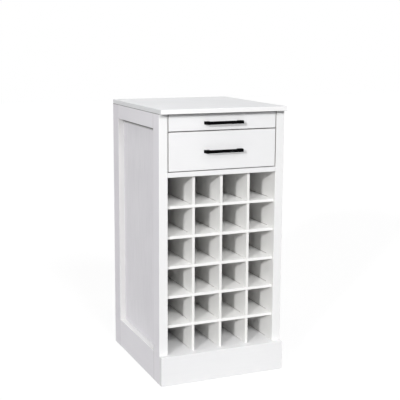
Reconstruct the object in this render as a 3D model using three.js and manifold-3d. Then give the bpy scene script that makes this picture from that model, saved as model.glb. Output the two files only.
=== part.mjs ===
// A white wine cabinet: a shaker-sided case with a rack of slotted boards, a drawer and a pull-out tray.
// Millimetres, +X to the right, +Y to the back, +Z up. The origin lies on the floor, below the middle.

import * as THREE from 'three';
import { RoundedBoxGeometry } from 'three/addons/geometries/RoundedBoxGeometry.js';
import { mergeVertices } from 'three/addons/utils/BufferGeometryUtils.js';
import Module from 'manifold-3d';

const wasm = await Module();
wasm.setup();

// Case
const cabinetWidth = 450;
const cabinetHeight = 920;
const caseDepth = 476; // front face of the front posts to the back of the rear posts
const topThickness = 15;
const frontOverhang = 20; // the top stands this far in front of the posts
const glueLine = 0.2; // gap between two pieces that are fixed to each other
const edgeEase = 1.2; // rounding of the painted edges

// Side frames
const postWidth = 30;
const frontPostDepth = 54;
const rearPostDepth = 61;
const topRailHeight = 50;
const bottomRailHeight = 103;
const sidePanelThickness = 9.5;
const panelLap = 10; // the side panel reaches this far behind each post

// Back, floor and cross pieces
const backPanelThickness = 4.5;
const backPanelLap = 10;
const backPanelLift = 3; // the back panel stays clear of the floor
const plinthHeight = 101;
const bottomBoardThickness = 16;
const deckThickness = 16; // the board below the drawer
const rearRailThickness = 16;
const rearTopRailHeight = 60;

// Rack
const rackBoardThickness = 9.5;
const rackRecess = 10; // the rack's front edges lie this far behind the posts' front
const rackEase = 0.6;
const rackSideGap = 0.5;
const rackColumns = 4;
const rowShares = [0.162, 0.166, 0.166, 0.166, 0.166, 0.174]; // clear heights from the bottom up
const slotClearance = 0.3;

// Drawer and tray fronts
const frontThickness = 18;
const frontGap = 3; // gap above and below each front
const frontSideGap = 2.5;
const trayFrontHeight = 54;
const drawerFrontHeight = 127;
const frontEase = 1;

// Drawer and tray boxes
const boxBoardThickness = 12; // the box's sides and back
const boxBottomThickness = 5;
const boxRearGap = 32; // room behind a closed box, in front of the rear top rail
const bottomLift = 6; // height of the bottom's groove above the lower edge of the sides
const grooveDepth = 5.5;
const grooveClearance = 0.3;
const boxEase = 0.8;
const drawerSideLift = 5; // the sides' lower edge above the lower edge of the drawer's front
const drawerSideDrop = 24; // the sides' upper edge below the upper edge of the drawer's front
const traySideLift = 6;
const traySideDrop = 12;

// Bar handles
const handleHoleSpacing = 128;
const handleBarEnd = 2; // the bar runs this far past the middle of each hole
const handleFootFlare = 3; // each foot stands out this far past the bar's end
const handleFootWidth = 20;
const handleLegWidth = 10;
const handleProjection = 19.5;
const handleBarThickness = 8;
const handleHeight = 10;
const handleFillet = 7;
const handleHoleDepth = 10;
const handleEase = 0.8;
const handleDrop = 2.5; // each handle sits this far below the middle of its front

// Handle screws
const screwRadius = 2;
const screwHeadRadius = 4;
const screwHeadHeight = 2.6;
const screwGrip = 8; // length of the screw inside the handle's leg
const screwPoint = 0.8;
const screwClearance = 0.4; // gap round the screw inside the front
const threadClearance = 0.3; // gap round the screw inside the handle's leg

// Ball-bearing slides
const sheetGauge = 1.2;
const ballRadius = 1.6;
const raceClearance = 0.3;
const cageGauge = 0.5;
const cageTab = 0.8; // the cage's tab reaches this far past the balls' centres
const ballPitch = 20;
const slideSetback = 2; // the slides start this far behind the fronts
const slideEndGap = 3; // and end this far in front of the boxes' rear end
const drawerSlideHeight = 45;
const drawerSlideThickness = 12.7;
const drawerCageShare = 0.375; // of the slide's length
const traySlideHeight = 27;
const traySlideThickness = 10;
const trayCageShare = 0.225;

// Directions round a ball's centre, in degrees, for the bends of the slides' sheets
const towardsBox = 0;
const towardsCase = 180;
const downward = -90;
const outerRaceEnd = 30;
const bendAngle = 60; // how far down, from the direction of the box, the second row of balls lies

// Facets
const ballSides = 8;
const ballRings = 5;
const roundSides = 16;
const cornerSegments = 2;
const easeSegments = 1;
const raceStep = 30; // degrees between two points of a race
const cutOverrun = 1; // every cutting tool starts this far outside the piece

// Planes that several pieces share
const innerHalf = cabinetWidth / 2 - postWidth;
const frontReach = Math.max(frontOverhang, handleProjection + glueLine);
const caseBack = (caseDepth + frontReach) / 2;
const caseFront = caseBack - caseDepth;
const topUnderside = cabinetHeight - topThickness;
const backPanelFront = caseBack - backPanelThickness;
const rearRailBack = backPanelFront - glueLine;
const frontBack = caseFront + frontThickness;
const trayFrontTop = topUnderside - frontGap;
const trayFrontSpan = { bottom: trayFrontTop - trayFrontHeight, top: trayFrontTop };
const drawerFrontTop = trayFrontSpan.bottom - frontGap;
const drawerFrontSpan = { bottom: drawerFrontTop - drawerFrontHeight, top: drawerFrontTop };
const deckTop = drawerFrontSpan.bottom - frontGap;
const deckUnderside = deckTop - deckThickness;
const boxStart = frontBack + glueLine;
const boxEnd = rearRailBack - rearRailThickness - boxRearGap;
const slideStart = frontBack + slideSetback;
const slideLength = boxEnd - slideEndGap - slideStart;

const axisX = new THREE.Vector3(1, 0, 0);
const axisY = new THREE.Vector3(0, 1, 0);
const axisZ = new THREE.Vector3(0, 0, 1);

// Materials

function whitePaint() {
  return new THREE.MeshStandardMaterial({ color: 0xf1f1f3, roughness: 0.45, metalness: 0 });
}

function boxLaminate() {
  return new THREE.MeshStandardMaterial({ color: 0xecebe7, roughness: 0.6, metalness: 0 });
}

function blackMetal() {
  return new THREE.MeshStandardMaterial({ color: 0x121214, roughness: 0.4, metalness: 0.6 });
}

function zincSteel() {
  return new THREE.MeshStandardMaterial({ color: 0xa6aab0, roughness: 0.35, metalness: 0.9 });
}

function cageSteel() {
  return new THREE.MeshStandardMaterial({ color: 0xc9ccd0, roughness: 0.25, metalness: 1 });
}

// Solids

function toSolid(geometry) {
  const bare = geometry.clone();
  bare.deleteAttribute('normal');
  bare.deleteAttribute('uv');
  const merged = mergeVertices(bare);
  const vertProperties = new Float32Array(merged.attributes.position.array);
  const triVerts = new Uint32Array(merged.index.array);
  return new wasm.Manifold(new wasm.Mesh({ numProp: 3, vertProperties, triVerts }));
}

function toGeometry(solid) {
  const mesh = solid.getMesh();
  const geometry = new THREE.BufferGeometry();
  geometry.setAttribute('position', new THREE.BufferAttribute(mesh.vertProperties, mesh.numProp));
  geometry.setIndex(new THREE.BufferAttribute(mesh.triVerts, 1));
  geometry.computeVertexNormals();
  return geometry;
}

function named(name, geometry, material) {
  const mesh = new THREE.Mesh(geometry, material);
  mesh.name = name;
  return mesh;
}

// A board between two corners. An eased one has rounded edges all round.
function board(name, low, high, material, ease = 0) {
  const size = new THREE.Vector3().subVectors(high, low);
  const geometry = ease > 0
    ? new RoundedBoxGeometry(size.x, size.y, size.z, easeSegments, ease)
    : new THREE.BoxGeometry(size.x, size.y, size.z);
  const mesh = named(name, geometry, material);
  mesh.position.addVectors(low, high).divideScalar(2);
  return mesh;
}

// Turns a mesh so that its outline's two axes lie along u and v, with the thickness along u x v.
function lay(mesh, u, v, origin) {
  const w = new THREE.Vector3().crossVectors(u, v);
  mesh.quaternion.setFromRotationMatrix(new THREE.Matrix4().makeBasis(u, v, w));
  mesh.position.copy(origin);
  return mesh;
}

function point(x, y, z) {
  return new THREE.Vector3(x, y, z);
}

// A closed outline whose corners are rounded by the radius given for each.
function roundedOutline(corners) {
  const shape = new THREE.Shape();
  corners.forEach(({ x, y, radius = 0 }, i) => {
    const corner = new THREE.Vector2(x, y);
    const before = corners[(i + corners.length - 1) % corners.length];
    const after = corners[(i + 1) % corners.length];
    const enter = new THREE.Vector2(before.x, before.y).sub(corner).setLength(radius).add(corner);
    const leave = new THREE.Vector2(after.x, after.y).sub(corner).setLength(radius).add(corner);
    if (i === 0) {
      shape.moveTo(enter.x, enter.y);
    } else {
      shape.lineTo(enter.x, enter.y);
    }
    if (radius > 0) {
      shape.quadraticCurveTo(corner.x, corner.y, leave.x, leave.y);
    }
  });
  shape.closePath();
  return shape;
}

// A plate cut to an outline, with both faces' edges eased. It fills 0 to thickness.
function easedPlate(shape, thickness, ease) {
  const geometry = new THREE.ExtrudeGeometry(shape, {
    depth: thickness - 2 * ease,
    bevelEnabled: true,
    bevelThickness: ease,
    bevelSize: ease,
    bevelOffset: -ease,
    bevelSegments: easeSegments,
    curveSegments: cornerSegments,
  });
  return geometry.translate(0, 0, ease);
}

function bar(shape, length) {
  const options = { depth: length, bevelEnabled: false, curveSegments: cornerSegments };
  return new THREE.ExtrudeGeometry(shape, options);
}

// Case

function topPanel() {
  const low = point(-cabinetWidth / 2, caseFront - frontOverhang, topUnderside);
  const high = point(cabinetWidth / 2, caseBack, cabinetHeight);
  return board('top_panel', low, high, whitePaint(), edgeEase);
}

// The posts stand on the floor and carry the top. A rebate in the inner face takes the side panel,
// and the rear posts have a second one for the back panel. side is -1 on the left and 1 on the right.
function frontPost(side) {
  const outer = side * cabinetWidth / 2;
  const inner = side * innerHalf;
  const panelOuter = side * (innerHalf + sidePanelThickness + glueLine);
  const back = caseFront + frontPostDepth;
  const rebateFront = back - panelLap;
  const shape = roundedOutline([
    { x: outer, y: caseFront, radius: edgeEase },
    { x: inner, y: caseFront, radius: edgeEase },
    { x: inner, y: rebateFront },
    { x: panelOuter, y: rebateFront },
    { x: panelOuter, y: back },
    { x: outer, y: back, radius: edgeEase },
  ]);
  return bar(shape, topUnderside - glueLine);
}

function rearPost(side) {
  const outer = side * cabinetWidth / 2;
  const inner = side * innerHalf;
  const panelOuter = side * (innerHalf + sidePanelThickness + glueLine);
  const backPanelSide = side * (innerHalf + backPanelLap);
  const front = caseBack - rearPostDepth;
  const rebateBack = front + panelLap;
  const backRebate = backPanelFront - glueLine;
  const shape = roundedOutline([
    { x: outer, y: front, radius: edgeEase },
    { x: panelOuter, y: front },
    { x: panelOuter, y: rebateBack },
    { x: inner, y: rebateBack },
    { x: inner, y: backRebate },
    { x: backPanelSide, y: backRebate },
    { x: backPanelSide, y: caseBack },
    { x: outer, y: caseBack, radius: edgeEase },
  ]);
  return bar(shape, topUnderside - glueLine);
}

// The rails lie on the outer face of the side panel, between the posts.
function sideRail(name, side, bottom, height) {
  const inner = side * (innerHalf + sidePanelThickness + glueLine);
  const outer = side * cabinetWidth / 2;
  const front = caseFront + frontPostDepth + glueLine;
  const back = caseBack - rearPostDepth - glueLine;
  const low = point(Math.min(inner, outer), front, bottom);
  const high = point(Math.max(inner, outer), back, bottom + height);
  return board(name, low, high, whitePaint(), edgeEase);
}

function sidePanel(name, side) {
  const inner = side * innerHalf;
  const outer = side * (innerHalf + sidePanelThickness);
  const front = caseFront + frontPostDepth - panelLap + glueLine;
  const back = caseBack - rearPostDepth + panelLap - glueLine;
  const low = point(Math.min(inner, outer), front, 0);
  const high = point(Math.max(inner, outer), back, topUnderside - glueLine);
  return board(name, low, high, whitePaint());
}

function sideFrame(sideName, side) {
  const frame = new THREE.Group();
  frame.add(named(`${sideName}_front_post`, frontPost(side), whitePaint()));
  frame.add(named(`${sideName}_rear_post`, rearPost(side), whitePaint()));
  const topRailBottom = topUnderside - glueLine - topRailHeight;
  frame.add(sideRail(`${sideName}_top_rail`, side, topRailBottom, topRailHeight));
  frame.add(sideRail(`${sideName}_bottom_rail`, side, 0, bottomRailHeight));
  frame.add(sidePanel(`${sideName}_side_panel`, side));
  return frame;
}

function plinthBoard() {
  const low = point(-cabinetWidth / 2, caseFront - frontOverhang, 0);
  const high = point(cabinetWidth / 2, caseFront - glueLine, plinthHeight);
  return board('plinth_board', low, high, whitePaint(), edgeEase);
}

// A board that runs from the posts' front to the back panel, between the two side frames.
function crossBoard(name, top, thickness) {
  const low = point(-innerHalf + glueLine, caseFront, top - thickness);
  const high = point(innerHalf - glueLine, backPanelFront - glueLine, top);
  return board(name, low, high, whitePaint(), boxEase);
}

function rearRail(name, bottom, height) {
  const low = point(-innerHalf + glueLine, rearRailBack - rearRailThickness, bottom);
  const high = point(innerHalf - glueLine, rearRailBack, bottom + height);
  return board(name, low, high, whitePaint());
}

function backPanel() {
  const half = innerHalf + backPanelLap - glueLine;
  const low = point(-half, backPanelFront, backPanelLift);
  const high = point(half, caseBack, topUnderside - glueLine);
  return board('back_panel', low, high, whitePaint());
}

function cabinetCase() {
  const group = new THREE.Group();
  group.add(topPanel());
  group.add(sideFrame('left', -1));
  group.add(sideFrame('right', 1));
  group.add(plinthBoard());
  group.add(crossBoard('drawer_deck', deckTop, deckThickness));
  group.add(crossBoard('bottom_board', plinthHeight, bottomBoardThickness));
  group.add(backPanel());
  const topRailBottom = topUnderside - glueLine - rearTopRailHeight;
  group.add(rearRail('rear_top_rail', topRailBottom, rearTopRailHeight));
  const bottomRailTop = plinthHeight - bottomBoardThickness - glueLine;
  group.add(rearRail('rear_bottom_rail', 0, bottomRailTop));
  return group;
}

// Rack

// A board with slots cut halfway across from its edge at v = 0. It is length long and width wide.
function combOutline(length, width, slotCentres) {
  const half = rackBoardThickness / 2 + slotClearance;
  const slotDepth = width / 2 + slotClearance;
  const shape = new THREE.Shape();
  shape.moveTo(0, 0);
  for (const centre of slotCentres) {
    shape.lineTo(centre - half, 0);
    shape.lineTo(centre - half, slotDepth);
    shape.lineTo(centre + half, slotDepth);
    shape.lineTo(centre + half, 0);
  }
  shape.lineTo(length, 0);
  shape.lineTo(length, width);
  shape.lineTo(0, width);
  shape.closePath();
  return shape;
}

// The dividers are slotted from the front and the shelves from the back, so they lock half and half.
function rack() {
  const group = new THREE.Group();
  const front = caseFront + rackRecess;
  const back = backPanelFront - rackSideGap;
  const depth = back - front;
  const bottom = plinthHeight + glueLine;
  const height = deckUnderside - glueLine - bottom;
  const length = 2 * (innerHalf - rackSideGap);
  const columnPitch = (length + rackBoardThickness) / rackColumns;

  const clearHeight = height - (rowShares.length - 1) * rackBoardThickness;
  const shelfCentres = [];
  let underside = 0;
  for (const share of rowShares.slice(0, -1)) {
    underside += share * clearHeight;
    shelfCentres.push(underside + rackBoardThickness / 2);
    underside += rackBoardThickness;
  }
  const dividerCentres = [];
  for (let column = 1; column < rackColumns; column += 1) {
    dividerCentres.push(column * columnPitch - rackBoardThickness / 2);
  }

  dividerCentres.forEach((centre, i) => {
    const shape = combOutline(height, depth, shelfCentres);
    const geometry = easedPlate(shape, rackBoardThickness, rackEase);
    const divider = named(`rack_divider_${i + 1}`, geometry, whitePaint());
    const rightFace = centre - length / 2 + rackBoardThickness / 2;
    group.add(lay(divider, axisZ, axisY, point(rightFace, front, bottom)));
  });
  shelfCentres.forEach((centre, i) => {
    const shape = combOutline(length, depth, dividerCentres);
    const geometry = easedPlate(shape, rackBoardThickness, rackEase);
    const shelf = named(`rack_shelf_${i + 1}`, geometry, whitePaint());
    const top = bottom + centre + rackBoardThickness / 2;
    const backward = axisY.clone().negate();
    group.add(lay(shelf, axisX, backward, point(-length / 2, back, top)));
  });
  return group;
}

// Handles

// The handle seen from above: two feet that widen towards the front, two legs and the bar.
function handleOutline() {
  const barHalf = handleHoleSpacing / 2 + handleBarEnd;
  const foot = barHalf + handleFootFlare;
  const corners = [
    { x: foot, y: 0 },
    { x: foot - handleFootWidth, y: 0 },
    { x: barHalf - handleLegWidth, y: handleBarThickness - handleProjection, radius: handleFillet },
  ];
  const mirrored = corners.map((corner) => ({ ...corner, x: -corner.x })).reverse();
  const barFront = [
    { x: -barHalf, y: -handleProjection, radius: handleEase },
    { x: barHalf, y: -handleProjection, radius: handleEase },
  ];
  return roundedOutline([...corners, ...mirrored, ...barFront]);
}

function screwHole(x, z, front, back, radius) {
  const geometry = new THREE.CylinderGeometry(radius, radius, back - front, roundSides);
  geometry.translate(x, (front + back) / 2, z);
  return toSolid(geometry);
}

// The two holes of a handle's screws, from front to back, at height z.
function cutHandleHoles(solid, z, front, back, radius) {
  const left = screwHole(-handleHoleSpacing / 2, z, front, back, radius);
  const right = screwHole(handleHoleSpacing / 2, z, front, back, radius);
  return solid.subtract(left).subtract(right);
}

function handle(name, height) {
  const plate = easedPlate(handleOutline(), handleHeight, handleEase);
  plate.translate(0, 0, -handleHeight / 2);
  const radius = screwRadius + threadClearance;
  const solid = cutHandleHoles(toSolid(plate), 0, -handleHoleDepth, cutOverrun, radius);
  const mesh = named(name, toGeometry(solid), blackMetal());
  mesh.position.set(0, caseFront - glueLine, height);
  return mesh;
}

// A pan-head screw that enters from behind the front: its point is at the lowest y.
function handleScrew(name, x, height) {
  const tip = caseFront - glueLine - screwGrip;
  const seat = frontBack + glueLine;
  const profile = [
    new THREE.Vector2(0, tip),
    new THREE.Vector2(screwRadius - screwPoint, tip),
    new THREE.Vector2(screwRadius, tip + screwPoint),
    new THREE.Vector2(screwRadius, seat),
    new THREE.Vector2(screwHeadRadius, seat),
    new THREE.Vector2(screwHeadRadius, seat + screwHeadHeight / 2),
    new THREE.Vector2(screwHeadRadius / 2, seat + screwHeadHeight),
    new THREE.Vector2(0, seat + screwHeadHeight),
  ];
  const mesh = named(name, new THREE.LatheGeometry(profile, roundSides), zincSteel());
  mesh.position.set(x, 0, height);
  return mesh;
}

// Drawer and tray boxes

function boxFront(name, { bottom, top }) {
  const half = innerHalf - frontSideGap;
  const size = point(2 * half, frontThickness, top - bottom);
  const blank = new RoundedBoxGeometry(size.x, size.y, size.z, easeSegments, frontEase);
  const radius = screwRadius + screwClearance;
  const reach = frontThickness / 2 + cutOverrun;
  const solid = cutHandleHoles(toSolid(blank), -handleDrop, -reach, reach, radius);
  const mesh = named(name, toGeometry(solid), whitePaint());
  mesh.position.set(0, (caseFront + frontBack) / 2, (bottom + top) / 2);
  return mesh;
}

// A side has a groove along its inner face, which holds the bottom.
function boxSide(name, side, outerHalf, bottom, top) {
  const outer = side * outerHalf;
  const inner = side * (outerHalf - boxBoardThickness);
  const groove = side * (outerHalf - boxBoardThickness + grooveDepth);
  const grooveBottom = bottom + bottomLift - grooveClearance;
  const grooveTop = bottom + bottomLift + boxBottomThickness + grooveClearance;
  const shape = roundedOutline([
    { x: outer, y: bottom, radius: boxEase },
    { x: inner, y: bottom, radius: boxEase },
    { x: inner, y: grooveBottom },
    { x: groove, y: grooveBottom },
    { x: groove, y: grooveTop },
    { x: inner, y: grooveTop },
    { x: inner, y: top, radius: boxEase },
    { x: outer, y: top, radius: boxEase },
  ]);
  const mesh = named(name, bar(shape, boxEnd - boxStart), boxLaminate());
  return lay(mesh, axisX, axisZ, point(0, boxEnd, 0));
}

// The front, four more boards, the handle and its screws, for a box of the given outer half width.
function slidingBox(prefix, outerHalf, frontSpan, sideSpan) {
  const group = new THREE.Group();
  const innerSide = outerHalf - boxBoardThickness;
  const { bottom, top } = sideSpan;
  const bottomTop = bottom + bottomLift + boxBottomThickness;
  const handleCentre = (frontSpan.bottom + frontSpan.top) / 2 - handleDrop;
  group.add(boxFront(`${prefix}_front`, frontSpan));
  group.add(boxSide(`${prefix}_left_side`, -1, outerHalf, bottom, top));
  group.add(boxSide(`${prefix}_right_side`, 1, outerHalf, bottom, top));
  const backLow = point(-innerSide + glueLine, boxEnd - boxBoardThickness, bottomTop + glueLine);
  const backHigh = point(innerSide - glueLine, boxEnd, top);
  group.add(board(`${prefix}_back`, backLow, backHigh, boxLaminate(), boxEase));
  const bottomHalf = innerSide + grooveDepth - grooveClearance;
  const bottomLow = point(-bottomHalf, boxStart, bottomTop - boxBottomThickness);
  const bottomHigh = point(bottomHalf, boxEnd, bottomTop);
  group.add(board(`${prefix}_bottom`, bottomLow, bottomHigh, boxLaminate()));
  group.add(handle(`${prefix}_handle`, handleCentre));
  [-1, 1].forEach((side, i) => {
    const x = side * handleHoleSpacing / 2;
    group.add(handleScrew(`${prefix}_handle_screw_${i + 1}`, x, handleCentre));
  });
  return group;
}

function boxOuterHalf(slideThickness) {
  return innerHalf - slideThickness - 2 * glueLine;
}

function sideSpan(frontSpan, lift, drop) {
  return { bottom: frontSpan.bottom + lift, top: frontSpan.top - drop };
}

const drawerSideSpan = sideSpan(drawerFrontSpan, drawerSideLift, drawerSideDrop);
const traySideSpan = sideSpan(trayFrontSpan, traySideLift, traySideDrop);

function drawer() {
  const outerHalf = boxOuterHalf(drawerSlideThickness);
  return slidingBox('drawer', outerHalf, drawerFrontSpan, drawerSideSpan);
}

function tray() {
  const outerHalf = boxOuterHalf(traySlideThickness);
  return slidingBox('tray', outerHalf, trayFrontSpan, traySideSpan);
}

// Ball-bearing slides. A section is drawn with u from the case side towards the box, and v up from
// the slide's middle. Each member is a bent sheet, given by its centre line from its upper tip to its
// lower one. The balls run in two rows, above and below, in races that the sheets bend round them.

const raceRadius = ballRadius + raceClearance + sheetGauge / 2;

function raceArm(degrees) {
  const angle = THREE.MathUtils.degToRad(degrees);
  return new THREE.Vector2(Math.cos(angle), Math.sin(angle)).multiplyScalar(raceRadius);
}

// Points along a race, from one angle round the ball's centre to another.
function raceArc(centre, from, to) {
  const steps = Math.ceil(Math.abs(to - from) / raceStep);
  const points = [];
  for (let i = 0; i <= steps; i += 1) {
    points.push(raceArm(from + (to - from) * i / steps).add(centre));
  }
  return points;
}

function firstBall(height) {
  return new THREE.Vector2(sheetGauge / 2 + raceRadius, height / 2 - sheetGauge / 2 - raceRadius);
}

// The second row lies down and towards the box, so that the middle member bends under the first
// row and straight on over the second.
function secondBall(height) {
  return raceArm(towardsBox - bendAngle).multiplyScalar(2).add(firstBall(height));
}

function withMirror(upperHalf) {
  const lowerHalf = upperHalf.map(({ x, y }) => new THREE.Vector2(x, -y)).reverse();
  return [...upperHalf, ...lowerHalf];
}

function outerMemberLine(height) {
  return withMirror(raceArc(firstBall(height), outerRaceEnd, towardsCase));
}

function middleMemberLine(height) {
  const over = raceArc(secondBall(height), towardsBox, towardsCase - bendAngle);
  const under = raceArc(firstBall(height), towardsBox - bendAngle, downward).slice(1);
  return withMirror([...over, ...under]);
}

function innerMemberLine(ball, thickness) {
  const race = raceArc(ball, downward, towardsBox - bendAngle);
  const corner = new THREE.Vector2(thickness - sheetGauge / 2, race[race.length - 1].y);
  return withMirror([...race, corner]);
}

function cageLine(ball) {
  const web = ball.x - ballRadius + cageGauge / 2;
  const tip = new THREE.Vector2(ball.x + cageTab, ball.y);
  return withMirror([tip, new THREE.Vector2(web, ball.y)]);
}

// The closed outline of a bent sheet: its centre line moved half a gauge to either side, mitred.
function sheetOutline(line, gauge) {
  const left = [];
  const right = [];
  line.forEach((here, i) => {
    const before = line[Math.max(i - 1, 0)];
    const after = line[Math.min(i + 1, line.length - 1)];
    const along = new THREE.Vector2().subVectors(after, here).normalize();
    const arriving = new THREE.Vector2().subVectors(here, before).normalize();
    const mean = along.clone().add(arriving).normalize();
    const normal = new THREE.Vector2(-mean.y, mean.x);
    const straight = i > 0 ? arriving : along;
    const stretch = 1 / new THREE.Vector2(-straight.y, straight.x).dot(normal);
    const shift = normal.multiplyScalar(stretch * gauge / 2);
    left.push(here.clone().add(shift));
    right.push(here.clone().sub(shift));
  });
  return [...left, ...right.reverse()];
}

// Places a section on the case's inner face, at a height, on the left or the right.
function sectionShape(outline, side, height) {
  const corners = outline.map(({ x, y }) => {
    const across = side * (innerHalf - glueLine - x);
    return new THREE.Vector2(across, height + y);
  });
  return new THREE.Shape(corners);
}

function slideMember(name, line, side, height) {
  const shape = sectionShape(sheetOutline(line, sheetGauge), side, height);
  const mesh = named(name, bar(shape, slideLength), zincSteel());
  return lay(mesh, axisX, axisZ, point(0, slideStart + slideLength, 0));
}

// A cage is a bent strip with two rows of balls held in its tabs.
function ballCage(name, ball, length, side, height) {
  const shape = sectionShape(sheetOutline(cageLine(ball), cageGauge), side, height);
  let solid = toSolid(bar(shape, length));
  const count = Math.floor(length / ballPitch);
  for (const row of [-1, 1]) {
    for (let i = 0; i < count; i += 1) {
      const sphere = new THREE.SphereGeometry(ballRadius, ballSides, ballRings);
      const across = side * (innerHalf - glueLine - ball.x);
      const along = length / 2 + (i - (count - 1) / 2) * ballPitch;
      sphere.translate(across, height + row * ball.y, along);
      solid = solid.add(toSolid(sphere));
    }
  }
  const mesh = named(name, toGeometry(solid), cageSteel());
  return lay(mesh, axisX, axisZ, point(0, slideStart + (slideLength + length) / 2, 0));
}

function drawerSlide(sideName, side) {
  const group = new THREE.Group();
  const prefix = `drawer_slide_${sideName}`;
  const level = (drawerSideSpan.bottom + drawerSideSpan.top) / 2;
  const cageLength = drawerCageShare * slideLength;
  const first = firstBall(drawerSlideHeight);
  const second = secondBall(drawerSlideHeight);
  const innerLine = innerMemberLine(second, drawerSlideThickness);
  group.add(slideMember(`${prefix}_outer`, outerMemberLine(drawerSlideHeight), side, level));
  group.add(slideMember(`${prefix}_middle`, middleMemberLine(drawerSlideHeight), side, level));
  group.add(slideMember(`${prefix}_inner`, innerLine, side, level));
  group.add(ballCage(`${prefix}_outer_cage`, first, cageLength, side, level));
  group.add(ballCage(`${prefix}_inner_cage`, second, cageLength, side, level));
  return group;
}

function traySlide(sideName, side) {
  const group = new THREE.Group();
  const prefix = `tray_slide_${sideName}`;
  const level = (traySideSpan.bottom + traySideSpan.top) / 2;
  const cageLength = trayCageShare * slideLength;
  const ball = firstBall(traySlideHeight);
  const innerLine = innerMemberLine(ball, traySlideThickness);
  group.add(slideMember(`${prefix}_outer`, outerMemberLine(traySlideHeight), side, level));
  group.add(slideMember(`${prefix}_inner`, innerLine, side, level));
  group.add(ballCage(`${prefix}_cage`, ball, cageLength, side, level));
  return group;
}

const wineCabinet = new THREE.Group();
wineCabinet.add(cabinetCase());
wineCabinet.add(rack());
wineCabinet.add(drawer());
wineCabinet.add(tray());
for (const [sideName, side] of [['left', -1], ['right', 1]]) {
  wineCabinet.add(drawerSlide(sideName, side));
  wineCabinet.add(traySlide(sideName, side));
}

export default wineCabinet;
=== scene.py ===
import math

import bmesh
import bpy
from mathutils import Matrix, Vector


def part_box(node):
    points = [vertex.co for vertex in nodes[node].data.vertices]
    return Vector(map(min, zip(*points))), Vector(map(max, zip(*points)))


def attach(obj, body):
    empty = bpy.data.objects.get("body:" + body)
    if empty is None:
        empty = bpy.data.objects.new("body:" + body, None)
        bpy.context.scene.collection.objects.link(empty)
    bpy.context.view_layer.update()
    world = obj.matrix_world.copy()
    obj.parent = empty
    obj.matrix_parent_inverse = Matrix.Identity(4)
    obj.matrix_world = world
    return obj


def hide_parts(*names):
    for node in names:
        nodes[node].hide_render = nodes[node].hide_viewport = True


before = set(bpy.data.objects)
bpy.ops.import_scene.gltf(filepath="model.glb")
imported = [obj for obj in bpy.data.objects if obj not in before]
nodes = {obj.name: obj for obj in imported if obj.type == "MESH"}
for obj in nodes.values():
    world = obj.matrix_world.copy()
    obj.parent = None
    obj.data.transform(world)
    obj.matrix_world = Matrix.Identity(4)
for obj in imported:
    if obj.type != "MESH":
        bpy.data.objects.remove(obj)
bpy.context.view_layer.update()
mm = 0.001
weld = 0.01 * mm  # points nearer than this are one
print("frame loaded with", len(nodes), "nodes")


# Camera, lamps and floor

studio = {
    "cameraPlace": (-1.21457, -2.87496, 1.15786),
    "cameraYaw": 23.169,  # degrees, from straight ahead towards the cabinet's right
    "cameraPitch": 9.953,
    "cameraRoll": 0.323,
    "lens": 80.338,
    "shiftUp": -0.025,
    "keyPlace": (-2.0, -2.0, 2.0),
    "keyDirection": (1.05, 1.0, -0.48),  # the way the light travels
    "keyStrength": 1.62,
    "keySoftness": 3.5,
    "softDistance": 4.0,
    "softLamps": {  # degrees round the cabinet from its front, degrees up, strength, softness
        "frontSoft": (0.0, 34.0, 1.38, 14.0),
        "rightSoft": (45.0, 45.0, 0.30, 20.0),
        "leftHighSoft": (-66.0, 69.0, 0.44, 24.0),
        "backRightSoft": (115.0, 30.0, 0.15, 30.0),
        "backLeftSoft": (-145.0, 12.0, 0.10, 30.0),
        "backLowSoft": (172.0, 4.0, 1.20, 30.0),
        "backSideSoft": (102.0, 5.0, 1.40, 30.0),
    },
    "nearLamps": {  # place, aim, size, power
        "leftNear": ((-0.7, -0.9, 1.35), (-0.22, -0.1, 0.7), 0.3, 2.1),
    },
    "skyStrength": 0.06,
    "floorSize": 24.0,
    "floorColour": (0.42, 0.42, 0.42, 1.0),
    "floorSeenColour": (0.20, 0.20, 0.20, 1.0),
    "floorGlow": 0.86,  # what the camera sees of the floor, besides its shaded part
}


def makeCamera(look):
    yaw, pitch, roll = (math.radians(look[k]) for k in ("cameraYaw", "cameraPitch", "cameraRoll"))
    forward = Vector((math.sin(yaw) * math.cos(pitch), math.cos(yaw) * math.cos(pitch),
                      -math.sin(pitch)))
    level = Vector((math.cos(yaw), -math.sin(yaw), 0.0))
    up = level.cross(forward)
    right = level * math.cos(roll) + up * math.sin(roll)
    top = up * math.cos(roll) - level * math.sin(roll)
    turned = Matrix((right, top, -forward)).transposed().to_4x4()
    data = bpy.data.cameras.new("photoCamera")
    data.sensor_width = 36.0
    data.lens = look["lens"]
    data.shift_y = look["shiftUp"]
    camera = bpy.data.objects.new("photoCamera", data)
    camera.matrix_world = Matrix.Translation(look["cameraPlace"]) @ turned
    bpy.context.scene.collection.objects.link(camera)
    bpy.context.scene.camera = camera


def addLamp(name, kind, place, direction, **settings):
    data = bpy.data.lights.new(name, kind)
    for key, value in settings.items():
        setattr(data, key, value)
    lamp = bpy.data.objects.new(name, data)
    lamp.location = place
    lamp.rotation_mode = "QUATERNION"
    lamp.rotation_quaternion = Vector(direction).to_track_quat("-Z", "Y")
    lamp.visible_glossy = not name.startswith("back")  # no glare on the top from behind
    bpy.context.scene.collection.objects.link(lamp)


def addNode(tree, kind, place, inputs=None, **settings):
    node = tree.nodes.new(kind)
    node.location = place
    for key, value in settings.items():
        setattr(node, key, value)
    for key, value in (inputs or {}).items():
        node.inputs[key].default_value = value
    return node


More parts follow.
